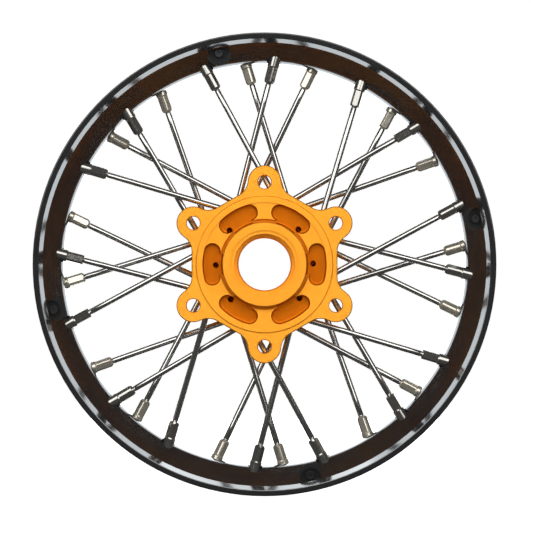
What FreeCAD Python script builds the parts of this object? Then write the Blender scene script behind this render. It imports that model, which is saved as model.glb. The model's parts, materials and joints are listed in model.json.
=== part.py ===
import FreeCAD, Part
import math
import os

# Spoked wheel: an alloy hub with six drive ears, a rim made of two rings screwed together, and
# 32 straight spokes that screw into the hub and are tensioned by nipples at the rim.
# Frame: millimetres, +Z up, the axle runs along Y and the origin is the wheel's centre.
# The eared side of the hub faces -Y. Angles lie in the XZ plane, from +X towards +Z.
# "Out" is the distance from the mid-plane, so one section serves both halves of the rim.

V = FreeCAD.Vector
AXLE = V(0, 1, 0)
FRONT = -1
REAR = 1

# Rim section: radii follow the tyre's seat, and widths follow the nipples' rows
tyre_seat_r = 152.5
nipple_row = 6.0
flange_height = 6.5
rim_r = tyre_seat_r + flange_height
rim_depth = 11.3
slope_foot_r = tyre_seat_r - rim_depth
slope_angle = 46.5
crown_beyond_row = 2.0
crown_half_width = nipple_row + crown_beyond_row
lip_foot_drop = 0.2
lip_foot_r = tyre_seat_r - lip_foot_drop
lip_step_height = 2.6
lip_step_depth = 4.8
lip_face_inner_r = lip_foot_r + lip_step_height
lip_bevel_width = 0.5
lip_bevel_depth = 0.2
lip_round = 0.7
lip_width = 2.6
tyre_seat_width = 2.4
flange_wall = 2.7
shelf_depth = 2.9
shelf_r = tyre_seat_r - shelf_depth
shelf_margin = 8.3
shelf_half_width = nipple_row + shelf_margin
seat_bevel = 0.7
relief_groove_floor = 5.8
relief_groove_r = slope_foot_r + relief_groove_floor
relief_groove_half_width = 3.2

# Clamp screws that hold the two rim rings together
screw_count = 4
screw_first_angle = 12.2
screw_above_foot = 7.2
screw_circle_r = slope_foot_r + screw_above_foot
screw_pocket_r = 7.2
screw_pocket_above_screw = 1.9
screw_head_r = 3.1
screw_pocket_fit = 0.1
screw_pocket_top_r = screw_circle_r + screw_head_r + screw_pocket_fit
screw_pocket_floor = 10.0
screw_pad_r = 8.6
screw_boss_r = 3.55
screw_shank_r = 2.0
screw_clearance = 0.15
screw_thread_clearance = 0.05
screw_head_height = 4.0
screw_head_chamfer = 0.4
screw_socket_flats = 3.0
screw_socket_depth = 2.2
screw_tip = 11.5
screw_tip_gap = 1.0

# Spokes: 16 to a side, in crossing pairs
pairs_per_side = 8
front_pair_angle = 7.0
rear_pair_turn = -11.25
pair_half_angle = 9.76
spoke_r = 2.0
bearing_r = 21.0
spoke_to_bearing = 7.3
spoke_tangent_r = bearing_r + spoke_to_bearing
spoke_seat_reach = 16.0
spoke_hub_gap = 0.4
spoke_fit = 0.05
inner_spoke_plane = 7.0
crossing_clearance = 0.29
spoke_tip_chamfer = 0.3

# Nipples, measured along the spoke from where it leaves the rim
nipple_barrel_r = 4.0
nipple_barrel_out = 3.4
nipple_chamfer = 0.8
nipple_flats = 6.3
nipple_flats_end = 14.1
nipple_end = 15.6
nipple_end_wall = 0.8
nipple_seat_depth = 6.8
nipple_head_r = 4.6
nipple_head_height = 2.4
nipple_slot_width = 1.2
nipple_slot_depth = 1.0
nipple_hole_fit = 0.06
nipple_seat_gap = 0.1
nipple_seat_margin = 0.2
nipple_spoke_fit = 0.05
nipple_turn_step = 37.0
spot_face_r = 5.0
spot_face_depth = 0.4

# Hub: rings and bosses as radii, faces as distances from the mid-plane
ear_count = 6
ear_first_angle = 30.0
body_r = 47.0
ear_above_body = 9.4
ear_circle_r = body_r + ear_above_body
ear_r = 11.5
ear_hole_r = 4.5
ear_thickness = 6.5
ear_spoke_gap = 2.7
ear_edge_margin = 3.0
ear_edge_r = body_r + ear_edge_margin
ear_blend_r = 12.0
ear_chamfer = 0.6
waist_depth = 6.5
waist_r = body_r - waist_depth
waist_half_width = 3.6
waist_ramp = 1.0
ring_width = 4.4
ring_inner_r = body_r - ring_width
ring_rise = 1.2
ring_chamfer = 0.4
web_drop = 1.2
boss_wall = 8.1
groove_inner_r = bearing_r + boss_wall
groove_width = 2.1
groove_depth = 3.4
boss_rise = 4.2
boss_chamfer = 0.6
pocket_spoke_gap = 3.0
pocket_floor_round = 1.8
pocket_half_angle = 22.8
rear_flange_margin = 2.0
rear_flange_r = body_r + rear_flange_margin
rear_flange_thickness = 3.6
rear_spoke_gap = 2.0

# Bearing seats, each behind a wider recess for its seal, and the through bore
bearing_width = 12.0
seal_wall = 2.4
seal_r = bearing_r + seal_wall
seal_depth = 1.6
bearing_shoulder = 3.1
bore_r = bearing_r - bearing_shoulder
bore_chamfer = 0.8

# Relief holes that open the end of each inner front spoke bore to a pocket
relief_hole_r = 2.0
relief_mouth_rise = 5.1
relief_mouth_r = spoke_tangent_r + relief_mouth_rise
relief_mouth_turn = 1.0
relief_reach = 9.0

over = 1.0  # how far a cutting tool runs past the face that it opens


def polar(radius, angle, y=0.0):
    """Point at a radius and an angle in degrees, at height y along the axle."""
    turn = math.radians(angle)
    return V(radius * math.cos(turn), y, radius * math.sin(turn))


def cylinder(radius, start, end):
    """Round bar from one point to another."""
    along = end - start
    return Part.makeCylinder(radius, along.Length, start, along)


def axial_cylinder(radius, y0, y1, centre=V(0, 0, 0)):
    """Round bar parallel to the axle, between two heights."""
    start = V(centre.x, min(y0, y1), centre.z)
    return Part.makeCylinder(radius, abs(y1 - y0), start, AXLE)


def line(a, b):
    """Straight edge of a section, between two (radius, y) points."""
    return Part.LineSegment(V(a[0], a[1], 0), V(b[0], b[1], 0)).toShape()


def arc(a, middle, b):
    """Round edge of a section, through three (radius, y) points."""
    return Part.Arc(V(a[0], a[1], 0), V(middle[0], middle[1], 0), V(b[0], b[1], 0)).toShape()


def revolve(edges):
    """Solid of revolution about the axle from a closed section in the XY plane."""
    face = Part.Face(Part.Wire(edges))
    return face.revolve(V(0, 0, 0), AXLE, 360)


def revolve_points(points):
    """Solid of revolution from a section with straight sides only."""
    ends = points[1:] + points[:1]
    return revolve([line(a, b) for a, b in zip(points, ends)])


def slope_out(radius):
    """Distance from the mid-plane at which the rim's slope has this radius."""
    return crown_half_width + (radius - slope_foot_r) * math.tan(math.radians(slope_angle))


# Crown between the slopes: an arc about crown_centre_r that runs into each slope at its foot
crown_turn = math.radians(90.0 - slope_angle)
crown_radius = crown_half_width / math.sin(crown_turn)
crown_centre_r = slope_foot_r + crown_radius * math.cos(crown_turn)
rim_half_width = slope_out(lip_foot_r) + lip_step_depth + lip_bevel_depth
root_r = crown_centre_r - math.sqrt(crown_radius ** 2 - nipple_row ** 2)
root_reach = math.sqrt(root_r ** 2 - spoke_tangent_r ** 2)


def outer_plane():
    """Height of the outer spokes' bores: far enough out for a crossing pair to pass clear."""
    crossing_turn = math.acos(spoke_tangent_r / root_r) - math.radians(pair_half_angle)
    crossing_reach = spoke_tangent_r * math.tan(crossing_turn)
    spread_there = (root_reach - crossing_reach) / (root_reach - spoke_seat_reach)
    return inner_spoke_plane + (2 * spoke_r + crossing_clearance) / spread_there


# What stands outside the outer spokes follows their plane
outer_spoke_plane = outer_plane()
ear_face = outer_spoke_plane + ear_spoke_gap + ear_thickness
rear_flange_face = outer_spoke_plane + rear_spoke_gap + rear_flange_thickness
pocket_floor = outer_spoke_plane + pocket_spoke_gap


# ---------------------------------------------------------------- spokes and nipples

class SpokeLine:
    """Axis of one spoke: tangent to a circle round the axle, and tilted along it.

    lean is -1 where the spoke reaches the hub at a lower angle than at the rim, +1 where it
    reaches it at a higher one. seat is the bottom of its bore in the hub, root is where it
    leaves the rim, and both are points.
    """

    def __init__(self, side, pair, lean):
        turn = front_pair_angle if side == FRONT else front_pair_angle + rear_pair_turn
        self.side = side
        self.pair = pair
        self.lean = lean
        self.root_angle = turn + 360.0 / pairs_per_side * pair - lean * pair_half_angle
        plane = outer_spoke_plane if side * lean > 0 else inner_spoke_plane
        self.foot_angle = self.root_angle + lean * math.degrees(math.acos(spoke_tangent_r / root_r))
        self.seat = self.in_plane(spoke_seat_reach, side * plane)
        self.root = self.in_plane(root_reach, side * nipple_row)
        self.outward = (self.root - self.seat).normalize()

    def in_plane(self, reach, y):
        """Point this far along the tangent from its foot, at height y along the axle."""
        foot = polar(spoke_tangent_r, self.foot_angle)
        tangent = polar(1.0, self.foot_angle - self.lean * 90.0)
        return foot + tangent * reach + V(0, y, 0)

    def from_root(self, inward):
        """Point on the axis this far from the root towards the hub."""
        return self.root - self.outward * inward


def spoke(axis):
    """Straight round spoke, from its bore in the hub to inside its nipple's head."""
    start = axis.seat + axis.outward * spoke_hub_gap
    end = axis.from_root(-(nipple_seat_depth + nipple_head_height - nipple_slot_depth - spoke_hub_gap))
    bar = cylinder(spoke_r, start, end)
    return bar.makeChamfer(spoke_tip_chamfer, [e for e in bar.Edges if e.Curve.TypeId == "Part::GeomCircle"])


def nipple(axis, number):
    """Nipple on a spoke: slotted head, round barrel, chamfer, four wrench flats and a domed end."""
    head_low = -(nipple_seat_depth + nipple_seat_gap)
    head_top = head_low - nipple_head_height
    bore_r_here = spoke_r + nipple_spoke_fit
    corner_r = nipple_barrel_r - nipple_chamfer / 2
    flats_start = nipple_barrel_out + nipple_chamfer
    blank = revolve_points([
        (bore_r_here, head_top), (nipple_head_r - 0.4, head_top), (nipple_head_r, head_top + 0.4),
        (nipple_head_r, head_low), (nipple_barrel_r, head_low), (nipple_barrel_r, nipple_barrel_out),
        (corner_r, flats_start), (corner_r, nipple_flats_end),
        (spoke_r + nipple_end_wall, nipple_end), (bore_r_here, nipple_end),
    ])
    round_bar = axial_cylinder(nipple_barrel_r + over, flats_start, nipple_end + over)
    square = Part.makeBox(nipple_flats, nipple_end, nipple_flats,
                          V(-nipple_flats / 2, flats_start - over / 2, -nipple_flats / 2))
    slot = Part.makeBox(2 * nipple_head_r + over, nipple_slot_depth + over, nipple_slot_width,
                        V(-nipple_head_r - over / 2, head_top - over, -nipple_slot_width / 2))
    body = blank.cut(round_bar.cut(square)).cut(slot)
    body.rotate(V(0, 0, 0), AXLE, number * nipple_turn_step)
    turn = FreeCAD.Rotation(AXLE, axis.outward * -1)
    body.Placement = FreeCAD.Placement(axis.root, turn).multiply(body.Placement)
    return body


# ---------------------------------------------------------------- rim

def rim_ring(side):
    """One rim ring as a plain revolved section, from the mid-plane out to its lip."""
    half = crown_turn / 2
    crown_middle = (crown_centre_r - crown_radius * math.cos(half), crown_radius * math.sin(half))
    lip_foot_out = slope_out(lip_foot_r)
    face_out = rim_half_width
    seat_end = lip_foot_out - flange_wall
    flare_r = rim_r - lip_round - 0.5
    lip_back = face_out - lip_width
    r45 = lip_round * (1 - math.sqrt(0.5))
    points = {
        "crown": (crown_centre_r - crown_radius, 0.0),
        "foot": (slope_foot_r, crown_half_width),
        "lip_foot": (lip_foot_r, lip_foot_out),
        "lip_inner": (lip_face_inner_r, face_out - lip_bevel_depth),
        "face_in": (lip_face_inner_r + lip_bevel_width, face_out),
        "face_out": (rim_r - lip_round, face_out),
        "top_out": (rim_r, face_out - lip_round),
        "top_in": (rim_r, lip_back + lip_round),
        "back": (rim_r - lip_round, lip_back),
        "flare": (tyre_seat_r, seat_end),
        "seat": (tyre_seat_r, seat_end - tyre_seat_width),
        "shelf": (shelf_r, shelf_half_width),
        "groove_top": (shelf_r, relief_groove_half_width),
        "groove_low": (relief_groove_r, relief_groove_half_width),
        "groove_mid": (relief_groove_r, 0.0),
    }
    p = {name: (r, side * out) for name, (r, out) in points.items()}
    edges = [
        arc(p["crown"], (crown_middle[0], side * crown_middle[1]), p["foot"]),
        line(p["foot"], p["lip_foot"]),
        line(p["lip_foot"], p["lip_inner"]),
        line(p["lip_inner"], p["face_in"]),
        line(p["face_in"], p["face_out"]),
        arc(p["face_out"], (rim_r - r45, side * (face_out - r45)), p["top_out"]),
        line(p["top_out"], p["top_in"]),
        arc(p["top_in"], (rim_r - r45, side * (lip_back + r45)), p["back"]),
        line(p["back"], p["flare"]),
        line(p["flare"], p["seat"]),
        line(p["seat"], p["shelf"]),
        line(p["shelf"], p["groove_top"]),
        line(p["groove_top"], p["groove_low"]),
        line(p["groove_low"], p["groove_mid"]),
        line(p["groove_mid"], p["crown"]),
    ]
    return revolve(edges)


def screw_places(circle_r=screw_circle_r):
    """Centres of the clamp screws, or of their pockets, at the mid-plane."""
    step = 360.0 / screw_count
    return [polar(circle_r, screw_first_angle + step * i) for i in range(screw_count)]


def screw_pocket(at):
    """D-shaped pocket in the front ring's slope: round towards the axle, flat towards the lip."""
    beyond_lip = -rim_half_width - over
    round_tool = axial_cylinder(screw_pocket_r, -screw_pocket_floor, beyond_lip, at)
    return round_tool.common(axial_cylinder(screw_pocket_top_r, 0, beyond_lip - over))


def rim_half(side, axes):
    """Rim ring with its nipple holes, screw pads and either screw pockets or tapped holes."""
    ring = rim_ring(side)
    pad_r = screw_pad_r if side == FRONT else screw_boss_r
    inner_disc = axial_cylinder(shelf_r - 2.0, 0, side * shelf_half_width)
    allowed = axial_cylinder(tyre_seat_r, 0, side * (shelf_half_width + seat_bevel)).cut(inner_disc)
    pads = [axial_cylinder(pad_r, 0, side * (shelf_half_width + seat_bevel), at) for at in screw_places()]
    groove_fill = [axial_cylinder(screw_boss_r, 0, side * (relief_groove_half_width + over), at)
                   for at in screw_places()]
    body = ring.multiFuse([pad.common(allowed) for pad in pads] + groove_fill).removeSplitter()
    tools = []
    for axis in axes:
        hole_r = nipple_barrel_r + nipple_hole_fit
        through = -2 * nipple_seat_depth
        tools.append(cylinder(hole_r, axis.from_root(nipple_end), axis.from_root(through)))
        seat_r = nipple_head_r + nipple_seat_margin
        seat_out = -2.5 * nipple_seat_depth
        tools.append(cylinder(seat_r, axis.from_root(-nipple_seat_depth), axis.from_root(seat_out)))
        tools.append(cylinder(spot_face_r, axis.from_root(nipple_end), axis.from_root(-spot_face_depth)))
    for at in screw_places():
        if side == FRONT:
            hole_r = screw_shank_r + screw_clearance
            tools.append(axial_cylinder(hole_r, over, -screw_pocket_floor - over, at))
        else:
            tapped_r = screw_shank_r + screw_thread_clearance
            tools.append(axial_cylinder(tapped_r, -over, screw_tip + screw_tip_gap, at))
    if side == FRONT:
        pocket_circle_r = screw_circle_r + screw_pocket_above_screw
        tools += [screw_pocket(at) for at in screw_places(pocket_circle_r)]
    return body.cut(tools)


def rim_screw(at):
    """Socket-head screw, its head on the floor of a pocket in the front ring."""
    floor = -screw_pocket_floor
    head = axial_cylinder(screw_head_r, floor - screw_head_height, floor, at)
    top_edges = [e for e in head.Edges if abs(e.CenterOfMass.y - (floor - screw_head_height)) < 0.01]
    head = head.makeChamfer(screw_head_chamfer, top_edges)
    shank = axial_cylinder(screw_shank_r, floor - over, screw_tip, at)
    corner_r = screw_socket_flats / math.sqrt(3)
    corners = [at + polar(corner_r, 60 * i, floor - screw_head_height - over) for i in range(7)]
    socket = Part.Face(Part.makePolygon(corners)).extrude(AXLE * (screw_socket_depth + over))
    return head.fuse(shank).removeSplitter().cut(socket)


# ---------------------------------------------------------------- hub

def ear_plate():
    """Six-eared plate: ears joined by straight edges, with a hollow blend on each flank."""
    spacing = 360.0 / ear_count
    blend_x = ear_edge_r + ear_blend_r
    ear_at = polar(ear_circle_r, spacing / 2)
    drop = math.sqrt((ear_blend_r + ear_r) ** 2 - (blend_x - ear_at.x) ** 2)
    blend_z = ear_at.z - drop
    to_ear = math.atan2(drop, ear_at.x - blend_x)
    blend_at = V(blend_x, 0, blend_z)
    flat_end = V(ear_edge_r, 0, blend_z)
    middle_angle = (math.pi + to_ear) / 2
    blend_mid = blend_at + V(math.cos(middle_angle), 0, math.sin(middle_angle)) * ear_blend_r
    on_ear = blend_at + V(math.cos(to_ear), 0, math.sin(to_ear)) * ear_blend_r
    tip = polar(ear_circle_r + ear_r, spacing / 2)
    edges = []
    for i in range(ear_count):
        turn = FreeCAD.Rotation(AXLE, -(ear_first_angle - spacing / 2 + spacing * i))

        def place(v, mirror=False):
            return turn.multVec(V(v.x, v.y, -v.z) if mirror else v)

        next_turn = FreeCAD.Rotation(AXLE, -(ear_first_angle + spacing / 2 + spacing * i))
        next_on_ear = next_turn.multVec(V(on_ear.x, 0, -on_ear.z))
        edges.append(Part.Arc(place(on_ear, True), place(blend_mid, True), place(flat_end, True)).toShape())
        edges.append(Part.LineSegment(place(flat_end, True), place(flat_end)).toShape())
        edges.append(Part.Arc(place(flat_end), place(blend_mid), place(on_ear)).toShape())
        edges.append(Part.Arc(place(on_ear), place(tip), next_on_ear).toShape())
    face = Part.Face(Part.Wire(edges))
    face.translate(V(0, -ear_face, 0))
    plate = face.extrude(AXLE * ear_thickness)
    faces = (-ear_face, ear_thickness - ear_face)
    rim_edges = [e for e in plate.Edges if any(abs(e.CenterOfMass.y - y) < 0.01 for y in faces)]
    plate = plate.makeChamfer(ear_chamfer, rim_edges)
    for i in range(ear_count):
        at = polar(ear_circle_r, ear_first_angle + spacing * i)
        hole = axial_cylinder(ear_hole_r, -ear_face - over, -ear_face + ear_thickness + over, at)
        mouth = V(at.x, -ear_face, at.z)
        sink = Part.makeCone(ear_hole_r + ear_chamfer, ear_hole_r, ear_chamfer, mouth, AXLE)
        plate = plate.cut([hole, sink])
    return plate


def hub_faces(side):
    """Ring, web, groove and boss of one hub end as (radius, y) points, from the rim of it inwards."""
    seat_face = ear_face if side == FRONT else rear_flange_face
    ring_face = seat_face + ring_rise
    web_face = ring_face - web_drop
    boss_face = ring_face + boss_rise
    seat_face_out = boss_face - seal_depth
    shoulder = seat_face_out - bearing_width
    outs = [
        (body_r, ring_face - ring_chamfer), (body_r - ring_chamfer, ring_face),
        (ring_inner_r, ring_face), (ring_inner_r, web_face),
        (groove_inner_r + groove_width, web_face), (groove_inner_r + groove_width, web_face - groove_depth),
        (groove_inner_r, web_face - groove_depth), (groove_inner_r, boss_face - boss_chamfer),
        (groove_inner_r - boss_chamfer, boss_face), (seal_r, boss_face),
        (seal_r, seat_face_out), (bearing_r, seat_face_out), (bearing_r, shoulder),
        (bore_r + bore_chamfer, shoulder), (bore_r, shoulder - bore_chamfer),
    ]
    return [(r, side * out) for r, out in outs]


def pocket_tool(side, angle):
    """Round-ended lightening pocket, from the boss wall out to the ring, with a rounded floor."""
    inner = groove_inner_r
    outer = ring_inner_r
    middle_r = (groove_inner_r + groove_width + outer) / 2
    end_r = outer - middle_r
    end_turn = pocket_half_angle - math.degrees(math.asin(end_r / middle_r))
    low, high = -end_turn, end_turn
    inner_mid = polar(inner, 0)
    wall_low = polar(middle_r - end_r, low)
    wall_high = polar(middle_r - end_r, high)
    tip_low = polar(middle_r, low) + polar(end_r, low - 90)
    tip_high = polar(middle_r, high) + polar(end_r, high + 90)
    edges = [
        Part.Arc(polar(outer, low), polar(outer, 0), polar(outer, high)).toShape(),
        Part.Arc(polar(outer, high), tip_high, wall_high).toShape(),
        Part.LineSegment(wall_high, polar(inner, high)).toShape(),
        Part.Arc(polar(inner, high), inner_mid, polar(inner, low)).toShape(),
        Part.LineSegment(polar(inner, low), wall_low).toShape(),
        Part.Arc(wall_low, tip_low, polar(outer, low)).toShape(),
    ]
    face = Part.Face(Part.Wire(edges))
    face.translate(V(0, side * pocket_floor, 0))
    tool = face.extrude(V(0, side * ear_face, 0))
    floor_edges = [e for e in tool.Edges
                   if abs(e.BoundBox.YMin - side * pocket_floor) < 0.01
                   and abs(e.BoundBox.YMax - side * pocket_floor) < 0.01
                   and e.Length > groove_width + over]
    tool = tool.makeFillet(pocket_floor_round, floor_edges)
    tool.rotate(V(0, 0, 0), AXLE, -angle)
    return tool


def relief_hole(axis):
    """Slanted hole from a pocket's floor down to the end of an inner front spoke bore."""
    back_turn = math.degrees(math.acos(spoke_tangent_r / relief_mouth_r))
    spacing = 360.0 / pairs_per_side
    mouth_angle = round((axis.foot_angle - back_turn) / spacing) * spacing
    mouth = polar(relief_mouth_r, mouth_angle + relief_mouth_turn, -pocket_floor)
    end = axis.in_plane(spoke_seat_reach + 2 * relief_hole_r, -inner_spoke_plane)
    along = (mouth - end).normalize()
    return cylinder(relief_hole_r, end, mouth + along * relief_reach / 2)


def hub(axes):
    """Machined hub: turned body, ear plate, pockets, bearing seats, through bore and spoke bores."""
    front = hub_faces(FRONT)
    rear = hub_faces(REAR)
    flange_back = rear_flange_face - rear_flange_thickness
    profile = [
        (body_r, -waist_half_width - waist_ramp), (waist_r, -waist_half_width),
        (waist_r, waist_half_width), (body_r, waist_half_width + waist_ramp),
        (body_r, flange_back), (rear_flange_r, flange_back), (rear_flange_r, rear_flange_face),
        (body_r, rear_flange_face),
    ]
    body = revolve_points(profile + rear + front[::-1])
    body = body.fuse(ear_plate_ring())
    tools = []
    for i in range(ear_count):
        angle = ear_first_angle + 360.0 / ear_count * (i + 0.5)
        tools.append(pocket_tool(FRONT, angle))
        if rear_flange_face > pocket_floor:
            tools.append(pocket_tool(REAR, angle))
    for axis in axes:
        reach_end = axis.in_plane(math.sqrt(rear_flange_r ** 2 - spoke_tangent_r ** 2) + 4 * over, 0)
        length = (reach_end - V(axis.seat.x, 0, axis.seat.z)).Length
        tools.append(cylinder(spoke_r + spoke_fit, axis.seat, axis.seat + axis.outward * length))
        if axis.side == FRONT and axis.lean > 0:
            tools.append(relief_hole(axis))
    return body.cut(tools)


def ear_plate_ring():
    """Ear plate with the body's own disc removed, so that the plate only adds the ears."""
    core = axial_cylinder(body_r - over, -ear_face - over, -ear_face + ear_thickness + over)
    return ear_plate().cut(core)


# ---------------------------------------------------------------- assembly

def spoke_axes(side):
    """All spoke axes on one side, pair by pair, the one that leans to lower angles first."""
    return [SpokeLine(side, pair, lean) for pair in range(pairs_per_side) for lean in (-1, 1)]


def save(name, shape):
    """Write one sub-part."""
    shape.exportStep(os.path.join("parts", name + ".step"))


def main():
    """Build every sub-part and write it to its own file."""
    os.makedirs("parts", exist_ok=True)
    all_axes = []
    for side, word in ((FRONT, "front"), (REAR, "rear")):
        axes = spoke_axes(side)
        all_axes += axes
        for number, axis in enumerate(axes, 1):
            save(f"{word}_nipple_{number:02d}", nipple(axis, number))
        for pair in range(pairs_per_side):
            spokes = [spoke(axis) for axis in axes if axis.pair == pair]
            save(f"{word}_spoke_pair_{pair + 1}", Part.makeCompound(spokes))
        save(f"rim_{word}_ring", rim_half(side, axes))
    for number, at in enumerate(screw_places(), 1):
        save(f"rim_screw_{number}", rim_screw(at))
    save("hub", hub(all_axes))


main()
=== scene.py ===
import json
import math

import bpy
import numpy as np
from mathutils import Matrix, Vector


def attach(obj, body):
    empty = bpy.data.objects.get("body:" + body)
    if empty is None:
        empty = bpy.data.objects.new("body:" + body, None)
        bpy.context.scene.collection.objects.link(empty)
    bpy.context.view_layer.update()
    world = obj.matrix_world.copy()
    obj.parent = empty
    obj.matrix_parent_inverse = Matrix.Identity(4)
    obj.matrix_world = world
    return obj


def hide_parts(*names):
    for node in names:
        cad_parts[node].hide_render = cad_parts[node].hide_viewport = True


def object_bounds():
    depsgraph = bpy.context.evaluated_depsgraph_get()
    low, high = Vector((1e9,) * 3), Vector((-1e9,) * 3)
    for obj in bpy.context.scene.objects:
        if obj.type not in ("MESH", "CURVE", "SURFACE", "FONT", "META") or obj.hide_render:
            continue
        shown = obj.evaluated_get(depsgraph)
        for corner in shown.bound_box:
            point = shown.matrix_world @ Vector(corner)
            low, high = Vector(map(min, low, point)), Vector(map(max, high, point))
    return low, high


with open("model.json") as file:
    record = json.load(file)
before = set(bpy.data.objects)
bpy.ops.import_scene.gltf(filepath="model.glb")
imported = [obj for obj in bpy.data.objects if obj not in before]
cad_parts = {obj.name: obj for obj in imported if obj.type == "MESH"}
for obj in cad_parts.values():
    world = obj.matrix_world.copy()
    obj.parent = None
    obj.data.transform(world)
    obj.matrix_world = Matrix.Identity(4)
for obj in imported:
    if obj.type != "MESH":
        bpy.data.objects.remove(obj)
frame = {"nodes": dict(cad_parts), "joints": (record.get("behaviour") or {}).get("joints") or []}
cad_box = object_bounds()
nodes = frame["nodes"]


# ---------------------------------------------------------------- studio
# A plain white set: a pale floor under the wheel, a white sweep far behind it, and one large
# white tent of soft light over its front. The tent stops short of the camera and of the ground.

STUDIO_WHITE = 1.0
ROOM_DIM = 0.07
TENT_HALF_WIDTH = 0.50
TENT_TOP = 0.50
TENT_FOOT = 0.08
TENT_FRONT = -2.30
TENT_BACK = -0.50
TENT_RADIANCE = 2.5
SWEEP_DISTANCE = 2.5
SWEEP_RADIUS = 0.95
SWEEP_RADIANCE = 3.0
REAR_KEY_RADIANCE = 2.0
REAR_KEY_BEHIND = 1.2
REAR_KEY_ABOVE = 1.0
REAR_KEY_WIDTH = 1.4
REAR_KEY_HEIGHT = 0.9
RIM_RINGS = ("rim_front_ring", "rim_rear_ring")


def softbox(name, at, towards, width, height, radiance, shape="RECTANGLE", only=()):
    """Area light seen only in what it lights: its power is pi times radiance times its area.

    With only, it lights no other nodes than those named.
    """
    lamp = bpy.data.lights.new(name, "AREA")
    lamp.shape = shape
    lamp.size = width
    lamp.size_y = height
    area = width * height if shape == "RECTANGLE" else math.pi * width * height / 4
    lamp.energy = math.pi * radiance * area
    light = bpy.data.objects.new(name, lamp)
    bpy.context.scene.collection.objects.link(light)
    light.location = at
    light.rotation_euler = Vector(towards).to_track_quat("-Z", "Y").to_euler()
    light.visible_camera = False
    if only:
        lit = bpy.data.collections.new(name)
        for node in only:
            lit.objects.link(nodes[node])
        light.light_linking.receiver_collection = lit
    return light


tent_length = TENT_BACK - TENT_FRONT
tent_middle = (TENT_BACK + TENT_FRONT) / 2
wall_height = TENT_TOP - TENT_FOOT
wall_middle = (TENT_TOP + TENT_FOOT) / 2
softbox("tent_roof", (0, tent_middle, TENT_TOP), (0, 0, -1), 2 * TENT_HALF_WIDTH, tent_length,
        TENT_RADIANCE)
for side, word in ((-1, "left"), (1, "right")):
    softbox(f"tent_{word}", (side * TENT_HALF_WIDTH, tent_middle, wall_middle), (-side, 0, 0),
            tent_length, wall_height, TENT_RADIANCE)
softbox("sweep", (0, SWEEP_DISTANCE, 0), (0, -1, 0), 2 * SWEEP_RADIUS, 2 * SWEEP_RADIUS,
        SWEEP_RADIANCE, "DISK")
softbox("rear_key", (0, REAR_KEY_BEHIND, REAR_KEY_ABOVE), (0, -REAR_KEY_BEHIND, -REAR_KEY_ABOVE),
        REAR_KEY_WIDTH, REAR_KEY_HEIGHT, REAR_KEY_RADIANCE, only=("hub", *RIM_RINGS))

world = bpy.data.worlds.new("room")
bpy.context.scene.world = world
world.use_nodes = True
room = world.node_tree
seen = room.nodes.new("ShaderNodeLightPath")
white = room.nodes.new("ShaderNodeBackground")
dim = room.nodes.new("ShaderNodeBackground")
either = room.nodes.new("ShaderNodeMixShader")
white.inputs["Strength"].default_value = STUDIO_WHITE
white.inputs["Color"].default_value = (1, 1, 1, 1)
dim.inputs["Strength"].default_value = ROOM_DIM
dim.inputs["Color"].default_value = (1, 1, 1, 1)
room.links.new(seen.outputs["Is Camera Ray"], either.inputs[0])
room.links.new(dim.outputs[0], either.inputs[1])
room.links.new(white.outputs[0], either.inputs[2])
room.links.new(either.outputs[0], room.nodes["World Output"].inputs["Surface"])
bpy.context.scene.view_settings.view_transform = "Standard"

CAMERA_DISTANCE = 5.0
FRAMED_WIDTH = 0.3653
LIP_BEHIND_FRONT = 0.0049
SENSOR_WIDTH = 36
SHIFT_RIGHT = 0.0037
SHIFT_UP = -0.0041
CAMERA_REACH = 50
camera_data = bpy.data.cameras.new("camera")
camera = bpy.data.objects.new("camera", camera_data)
bpy.context.scene.collection.objects.link(camera)
bpy.context.scene.camera = camera
lip_plane = cad_box[0].y + LIP_BEHIND_FRONT
camera.location = (0, -CAMERA_DISTANCE, 0)
camera.rotation_euler = (math.radians(90), 0, 0)
camera_data.sensor_width = SENSOR_WIDTH
camera_data.lens = SENSOR_WIDTH * (CAMERA_DISTANCE + lip_plane) / FRAMED_WIDTH
camera_data.shift_x = SHIFT_RIGHT
camera_data.shift_y = SHIFT_UP
camera_data.clip_end = CAMERA_REACH

FLOOR_HALF = 3.0
FLOOR_GAP = 0.0005
ground = cad_box[0].z - FLOOR_GAP
floor_corners = [(-FLOOR_HALF, -FLOOR_HALF, ground), (FLOOR_HALF, -FLOOR_HALF, ground),
                 (FLOOR_HALF, FLOOR_HALF, ground), (-FLOOR_HALF, FLOOR_HALF, ground)]
floor_mesh = bpy.data.meshes.new("floor")
floor_mesh.from_pydata(floor_corners, [], [(0, 1, 2, 3)])
floor = bpy.data.objects.new("floor", floor_mesh)
bpy.context.scene.collection.objects.link(floor)
floor.visible_glossy = False
floor.visible_diffuse = False


class Wire:
    """One output of a material's node. Arithmetic on it adds Math nodes."""

    def __init__(self, finish, socket):
        self.finish = finish
        self.socket = socket

    def math(self, operation, first, second=0.0):
        return self.finish.node("Math", {"operation": operation}, {0: first, 1: second})

    def __add__(self, other):
        return self.math("ADD", self, other)

    __radd__ = __add__

    def __sub__(self, other):
        return self.math("SUBTRACT", self, other)

    def __rsub__(self, other):
        return self.math("SUBTRACT", other, self)

    def __mul__(self, other):
        return self.math("MULTIPLY", self, other)

    __rmul__ = __mul__

    def __pow__(self, other):
        return self.math("POWER", self, other)


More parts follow.
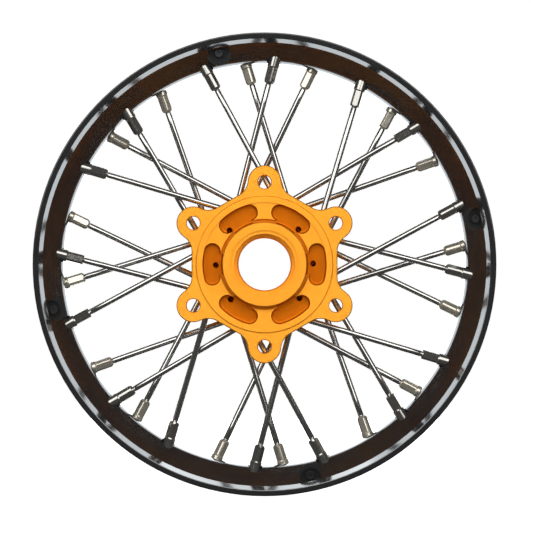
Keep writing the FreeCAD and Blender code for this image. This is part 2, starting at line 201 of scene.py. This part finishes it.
class Finish:
    """A Principled material under a name."""

    def __init__(self, name, **constants):
        self.material = bpy.data.materials.new(name)
        self.material.use_nodes = True
        self.tree = self.material.node_tree
        self.shader = self.tree.nodes["Principled BSDF"]
        self.shade({key.replace("_", " "): value for key, value in constants.items()})

    def node(self, kind, settings=None, inputs=None, output=0):
        """Adds a node, sets it up, fills its sockets and gives the wire of one output."""
        made = self.tree.nodes.new("ShaderNode" + kind)
        for key, value in (settings or {}).items():
            setattr(made, key, value)
        self.fill(made, inputs or {})
        return Wire(self, made.outputs[output])

    def fill(self, made, inputs):
        """Links wires to a node's sockets and sets constants on the others."""
        for key, value in inputs.items():
            if isinstance(value, Wire):
                self.tree.links.new(value.socket, made.inputs[key])
            else:
                made.inputs[key].default_value = value

    def shade(self, inputs):
        """Sets the shader's own sockets."""
        self.fill(self.shader, inputs)

    def place(self):
        """Position on the wheel in metres."""
        return self.node("TexCoord", output="Object")

    def round_axle(self):
        """Distance from the axle and place along it, in metres."""
        x, y, z = (self.node("SeparateXYZ", inputs={0: self.place()}, output=i) for i in range(3))
        return (x * x + z * z) ** 0.5, y

    def noise(self, where, scale, detail=2.0):
        return self.node("TexNoise", inputs={"Vector": where, "Scale": scale, "Detail": detail,
                                             "Roughness": 0.5})

    def mix(self, factor, first, second):
        """Colour between two colours."""
        return self.node("Mix", {"data_type": "RGBA"}, {0: factor, 6: first, 7: second}, output=2)

    def bump(self, height, distance):
        return self.node("Bump", inputs={"Strength": 1.0, "Distance": distance, "Height": height})


def colour(red, green, blue):
    """Colour with full alpha."""
    return (red, green, blue, 1.0)


paper = Finish("white_paper", Roughness=0.9)
fibre = paper.noise(paper.place(), 40.0)
paper.shade({"Base Color": paper.mix(fibre, colour(0.90, 0.90, 0.90), colour(0.94, 0.94, 0.94)),
             "Emission Color": colour(1, 1, 1), "Emission Strength": 1.0})
floor.data.materials.append(paper.material)


# ---------------------------------------------------------------- rim
# Two turned aluminium rings, polished and anodised gloss black, clamped together by four screws.
# A small white card close behind the wheel's middle lights their crown and the lip's step.

CARD_DISTANCE = 0.10
CARD_WIDTH = 0.25
CARD_RADIANCE = 3.3
CARD_COLOUR = (0.90, 0.96, 1.0)
card = softbox("rim_card", (0, CARD_DISTANCE, 0), (0, -1, 0), CARD_WIDTH, CARD_WIDTH,
               CARD_RADIANCE, "DISK", RIM_RINGS)
card.data.color = CARD_COLOUR
RIM_BLACK = colour(0.016, 0.0158, 0.016)
RIM_BLACK_WORN = colour(0.027, 0.0265, 0.027)
rim_gloss = Finish("gloss_black_anodise", Metallic=0.0, IOR=2.0)
radius, along_axle = rim_gloss.round_axle()
turning = rim_gloss.node("TexNoise", {"noise_dimensions": "2D"}, {
    "Vector": rim_gloss.node("CombineXYZ", inputs={0: radius, 1: along_axle}),
    "Scale": 2600.0, "Detail": 2.0})
cloud = rim_gloss.noise(rim_gloss.place(), 70.0, 3.0)
rim_gloss.shade({
    "Base Color": rim_gloss.mix(cloud, RIM_BLACK, RIM_BLACK_WORN),
    "Roughness": 0.10 + cloud * 0.05,
    "Normal": rim_gloss.bump(turning, 0.0000015),
})
for name in RIM_RINGS:
    nodes[name].data.materials[0] = rim_gloss.material


# ---------------------------------------------------------------- rim screws
# Socket-head screws in black-oxide steel, cold-headed with rolled threads. One sits in each
# pocket of the front ring and clamps the two rings together.

SCREW_COUNT = 4
oxide = Finish("black_oxide_steel", Metallic=0.9)
patch = oxide.noise(oxide.place(), 900.0, 3.0)
oxide.shade({
    "Base Color": oxide.mix(patch, colour(0.030, 0.030, 0.032), colour(0.075, 0.074, 0.074)),
    "Roughness": 0.28 + patch * 0.15,
    "Normal": oxide.bump(patch, 0.00001),
})
for number in range(1, SCREW_COUNT + 1):
    nodes[f"rim_screw_{number}"].data.materials[0] = oxide.material


# ---------------------------------------------------------------- spokes
# Straight spokes of drawn and polished stainless wire, 4 mm thick, screwed into the hub. The rim
# end carries a rolled thread, whose last turns run out just beyond the nipple.

SPOKE_RADIUS = 0.0020
SPOKE_TO_HUB = 0.1195
SPOKE_PAST_ROOT = 0.0075
PLAIN_FROM = 0.03
PLAIN_ROWS = 8
THREAD_FROM = 0.0125
THREAD_TO = 0.0168
THREAD_PITCH = 0.00075
THREAD_DEPTH = 0.00022
ROWS_PER_PITCH = 8
SPOKE_SIDES = 28
PAIRS_PER_SIDE = 8


def spoke_surface(root, inward):
    """Wire from past the root to the hub, as points, faces and their (cos, sin, length) places.

    A point is the root, plus a length along the spoke, plus the radius at an angle round it. The
    radius is the wire's, less the thread's depth times a cosine wave of length over pitch plus
    angle, faded in and out by three times a half sine over the threaded length, held at 1.
    """
    thread_rows = int((THREAD_TO - THREAD_FROM) / THREAD_PITCH * ROWS_PER_PITCH)
    length = np.concatenate([[-SPOKE_PAST_ROOT, 0.0],
                             np.linspace(THREAD_FROM, THREAD_TO, thread_rows),
                             np.linspace(PLAIN_FROM, SPOKE_TO_HUB, PLAIN_ROWS)])
    angle = np.linspace(0, 2 * math.pi, SPOKE_SIDES, endpoint=False)
    along, around = np.meshgrid(length, angle, indexing="ij")
    share = np.clip((along - THREAD_FROM) / (THREAD_TO - THREAD_FROM), 0, 1)
    fade = np.minimum(1, 3 * np.sin(math.pi * share))
    wave = 0.5 - 0.5 * np.cos(2 * math.pi * along / THREAD_PITCH + around)
    radius = SPOKE_RADIUS - THREAD_DEPTH * fade * wave
    inward = np.array(inward)
    across = np.cross(inward, (0, 1, 0))
    across /= np.linalg.norm(across)
    upright = np.cross(inward, across)
    offset = np.cos(around)[..., None] * across + np.sin(around)[..., None] * upright
    points = np.array(root) + along[..., None] * inward + radius[..., None] * offset
    places = np.stack([np.cos(around), np.sin(around), along], axis=-1)
    row, column = np.meshgrid(np.arange(len(length) - 1), np.arange(SPOKE_SIDES), indexing="ij")
    following = (column + 1) % SPOKE_SIDES
    corners = [row * SPOKE_SIDES + column, row * SPOKE_SIDES + following,
               (row + 1) * SPOKE_SIDES + following, (row + 1) * SPOKE_SIDES + column]
    faces = np.stack(corners, axis=-1).reshape(-1, 4).tolist()
    last = (len(length) - 1) * SPOKE_SIDES
    faces += [list(range(SPOKE_SIDES))[::-1], list(range(last, last + SPOKE_SIDES))]
    return points.reshape(-1, 3), faces, places.reshape(-1, 3)


steel = Finish("polished_stainless", Metallic=1.0)


def drawn(scales, detail):
    """Noise on the wire's own (cos, sin, length), scaled apart along and round the wire."""
    place = steel.node("Attribute", {"attribute_name": "wire"}, output=1)
    stretched = steel.node("VectorMath", {"operation": "MULTIPLY"}, {0: place, 1: scales})
    return steel.noise(stretched, 1.0, detail)


die_lines = drawn((9.0, 9.0, 60.0), 3.0)
haze = drawn((0.8, 0.8, 90.0), 2.0)
steel.shade({
    "Base Color": steel.mix(haze, colour(0.56, 0.545, 0.515), colour(0.66, 0.645, 0.615)),
    "Roughness": 0.08 + die_lines * 0.06 + haze * 0.04,
    "Normal": steel.bump(die_lines, 0.000006),
})
leaving = {joint["child"]: joint for joint in frame["joints"]}
for end in ("front", "rear"):
    for pair in range(1, PAIRS_PER_SIDE + 1):
        points, faces, places = [], [], []
        for number in (2 * pair - 1, 2 * pair):
            joint = leaving[f"{end}_nipple_{number:02d}"]
            wire_points, wire_faces, wire_places = spoke_surface(joint["pos_m"], joint["axis"])
            start = sum(len(part) for part in points)
            faces += [[corner + start for corner in face] for face in wire_faces]
            points.append(wire_points)
            places.append(wire_places)
        mesh = bpy.data.meshes.new(f"{end}_spokes_{pair}")
        mesh.from_pydata(np.concatenate(points).tolist(), [], faces)
        mesh.polygons.foreach_set("use_smooth", [True] * len(mesh.polygons))
        mesh.attributes.new("wire", "FLOAT_VECTOR", "POINT").data.foreach_set(
            "vector", np.concatenate(places).ravel())
        mesh.materials.append(steel.material)
        spokes = bpy.data.objects.new(f"{end}_spokes_{pair}", mesh)
        bpy.context.scene.collection.objects.link(spokes)
        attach(spokes, "wheel")
        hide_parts(f"{end}_spoke_pair_{pair}")


# ---------------------------------------------------------------- nipples
# Nickel-plated brass nipples with four wrench flats, slotted heads and turned chamfers. Both rows
# are one nickel in lit and shaded copies: the front row's plate is painted darker as shade, and
# the rear row's is painted lighter and warmer as light.


def nickel_plate(name, metallic, dull, bright, smooth, rough):
    """Nickel between two colours and two roughnesses, in small clouds with fine tool lines."""
    plate = Finish(name, Metallic=metallic)
    clouds = plate.noise(plate.place(), 420.0, 3.0)
    grain = plate.noise(plate.place(), 2600.0)
    plate.shade({
        "Base Color": plate.mix(clouds, dull, bright),
        "Roughness": smooth + clouds * (rough - smooth),
        "Normal": plate.bump(clouds * 0.4 + grain * 0.6, 0.00001),
    })
    return plate.material


# Lit and shaded copies of one nickel: the front row's colours are painted shade, the rear row's
# are painted light.
painted_light_nickel_of = {
    "front": nickel_plate("front_nickel_painted_shade", 0.92, colour(0.36, 0.35, 0.32),
                          colour(0.50, 0.485, 0.45), 0.10, 0.20),
    "rear": nickel_plate("rear_nickel_painted_light", 0.72, colour(0.60, 0.55, 0.45),
                         colour(0.74, 0.69, 0.58), 0.16, 0.30),
}
for name, node in nodes.items():
    if "nipple" in name:
        node.data.materials[0] = painted_light_nickel_of[name.split("_")[0]]


# ---------------------------------------------------------------- hub
# Turned and milled from one aluminium billet, bead-blasted and anodised orange. Painted shade
# darkens the orange in the pockets and grooves. A wide soft panel in front fills them.

PANEL_PLACE = (0, -0.5, 0.08)
PANEL_WIDTH = 1.8
PANEL_HEIGHT = 1.6
PANEL_RADIANCE = 0.37
softbox("hub_panel", PANEL_PLACE, (0, 1, 0), PANEL_WIDTH, PANEL_HEIGHT, PANEL_RADIANCE,
        only=("hub",))
FACE_PALE = colour(0.97, 0.392, 0.034)
FACE_DEEP = colour(0.89, 0.345, 0.024)
# Darker orange painted into the pockets and grooves as shade.
POCKET_PAINTED_SHADE = colour(0.53, 0.125, 0.0015)
POCKET_INNER = 0.0290
POCKET_OUTER = 0.0429
POCKET_EDGE = 0.0001
FRONT_WEB = -0.0242
REAR_WEB = 0.0206
SHADE_RAMP_DEPTH = 0.0050
orange = Finish("orange_anodise_with_painted_pocket_shade", Metallic=0.94)
radius, along_axle = orange.round_axle()
blast = orange.noise(orange.place(), 2200.0, 3.0)
mottle = orange.noise(orange.place(), 140.0, 3.0)
turning = orange.node("TexNoise", {"noise_dimensions": "1D"},
                      {"W": radius * 3000.0, "Detail": 2.0})


def ramp_up(value, start, end):
    """Rises smoothly from 0 at start to 1 at end."""
    return orange.node("MapRange", {"interpolation_type": "SMOOTHSTEP"}, {
        "Value": value, "From Min": start, "From Max": end, "To Min": 0.0, "To Max": 1.0})


# Painted shade: the base colour turns darker orange between the pocket walls and below the webs,
# ramped in over a few millimetres of depth so the walls darken like shade in a recess.
painted_shade_radii = (ramp_up(radius, POCKET_INNER - POCKET_EDGE, POCKET_INNER)
                 * (1.0 - ramp_up(radius, POCKET_OUTER - POCKET_EDGE, POCKET_OUTER)))
painted_shade_depth = (ramp_up(along_axle, FRONT_WEB, FRONT_WEB + SHADE_RAMP_DEPTH)
        * (1.0 - ramp_up(along_axle, REAR_WEB - SHADE_RAMP_DEPTH, REAR_WEB)))
face = orange.mix(mottle, FACE_DEEP, FACE_PALE)
orange.shade({
    "Base Color": orange.mix(painted_shade_radii * painted_shade_depth, face, POCKET_PAINTED_SHADE),
    "Roughness": 0.40 + blast * 0.10,
    "Normal": orange.bump(blast * 0.75 + turning * 0.25, 0.00006),
})
nodes["hub"].data.materials[0] = orange.material
